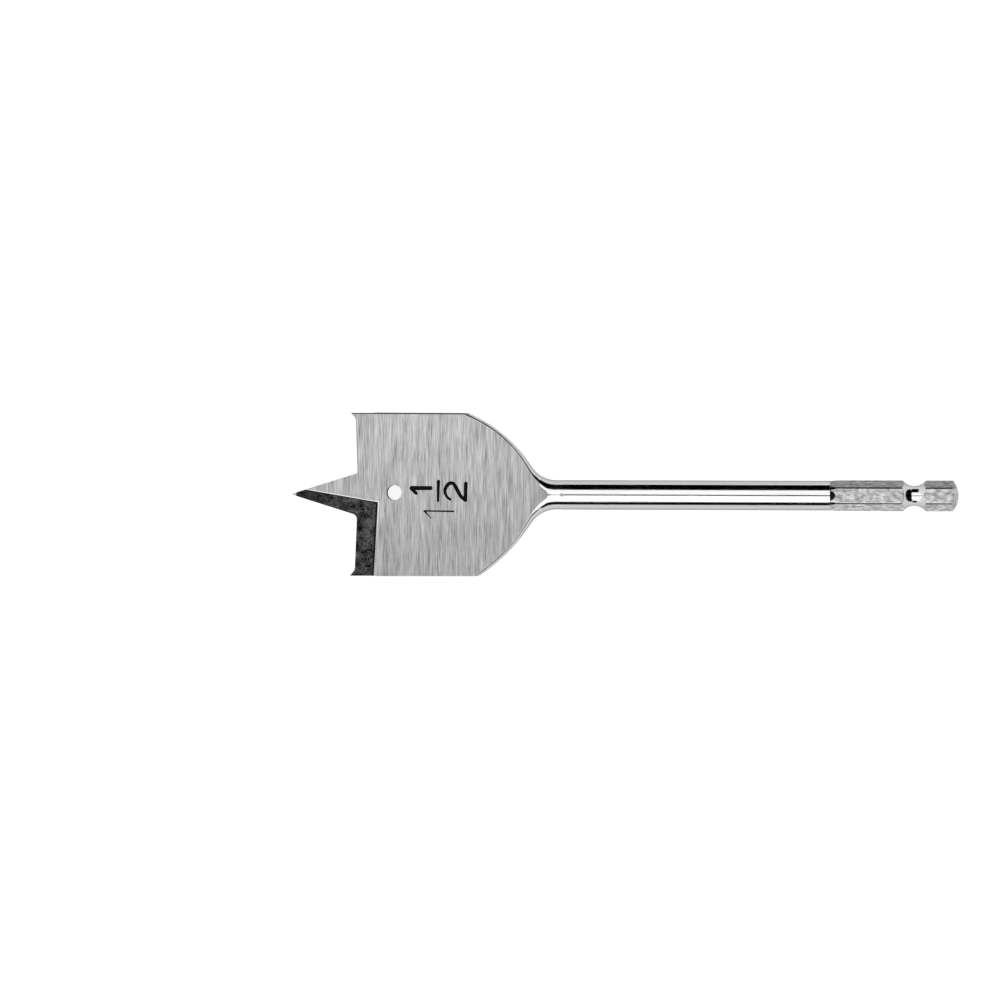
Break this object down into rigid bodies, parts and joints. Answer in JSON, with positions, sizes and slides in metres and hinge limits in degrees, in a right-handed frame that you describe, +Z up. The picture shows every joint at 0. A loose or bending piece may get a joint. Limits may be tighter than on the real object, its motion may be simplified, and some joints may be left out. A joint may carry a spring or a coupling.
{
  "type": "spade drill bit",
  "caption": "Flat spade drill bit with a long centre point, spurred lips, a blade tapering into a round shank, and a hexagon drive end with a ball groove.",
  "frame": {"origin": "centre of the domed drive end, on the tool axis", "axes": "+X along the tool axis from the point to the drive end, +Z up from the surface that the bit lies on, +Y towards the raised side of the blade"},
  "size_m": [0.1548, 0.038, 0.0068],
  "materials": {
    "tool_steel": "ground and polished"
  },
  "bodies": {
    "root": {"spade_bit": "tool_steel"}
  },
  "joints": []
}
